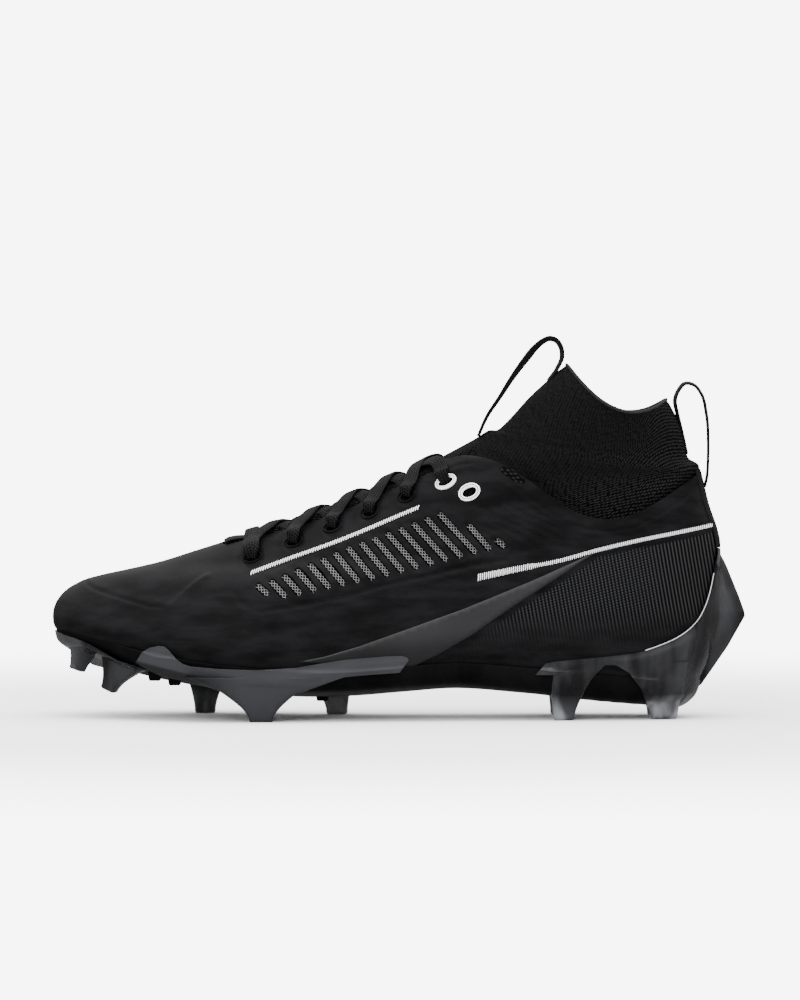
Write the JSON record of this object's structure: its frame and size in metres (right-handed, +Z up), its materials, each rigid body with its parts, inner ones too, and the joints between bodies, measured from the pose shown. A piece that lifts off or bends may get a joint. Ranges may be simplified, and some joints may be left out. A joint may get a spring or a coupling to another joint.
{
  "type": "american_football_cleat",
  "caption": "Mid-cut football cleat, left shoe: black moulded upper with a knit collar, woven laces, grey plastic wing and heel clip, and moulded studs.",
  "frame": {"origin": "On the ground, under the middle of the shoe's box.", "axes": "+X points from the toe to the heel, +Y to the inner (medial) side, +Z up. The outer (lateral) side faces -Y."},
  "size_m": [0.2962, 0.0972, 0.162],
  "materials": {
    "skin": "satin",
    "knit": "matte",
    "lining": "matte",
    "plate": "satin",
    "stud_grey": "gloss",
    "band_grey": "satin",
    "trim_white": "satin",
    "lace_black": "matte"
  },
  "bodies": {
    "root": {"eyelet_ring_lateral_6": "trim_white", "eyelet_ring_lateral_7": "trim_white", "eyelet_ring_medial_6": "trim_white", "eyelet_ring_medial_7": "trim_white", "front_loop": "knit", "heel_clip": "stud_grey", "heel_loop": "knit", "heel_tape": "knit", "insole": "lining", "lace_bar": "lace_black", "lace_crossing_1": "lace_black", "lace_crossing_2": "lace_black", "lace_crossing_3": "lace_black", "lace_crossing_4": "lace_black", "lace_crossing_5": "lace_black", "lateral_wing": "stud_grey", "plate": "plate", "quarter_band": "band_grey", "sock": "knit", "stud_medial_front": "stud_grey", "stud_medial_middle": "stud_grey", "stud_medial_rear": "stud_grey", "toe_bumper": "stud_grey", "upper": "skin"}
  },
  "joints": []
}
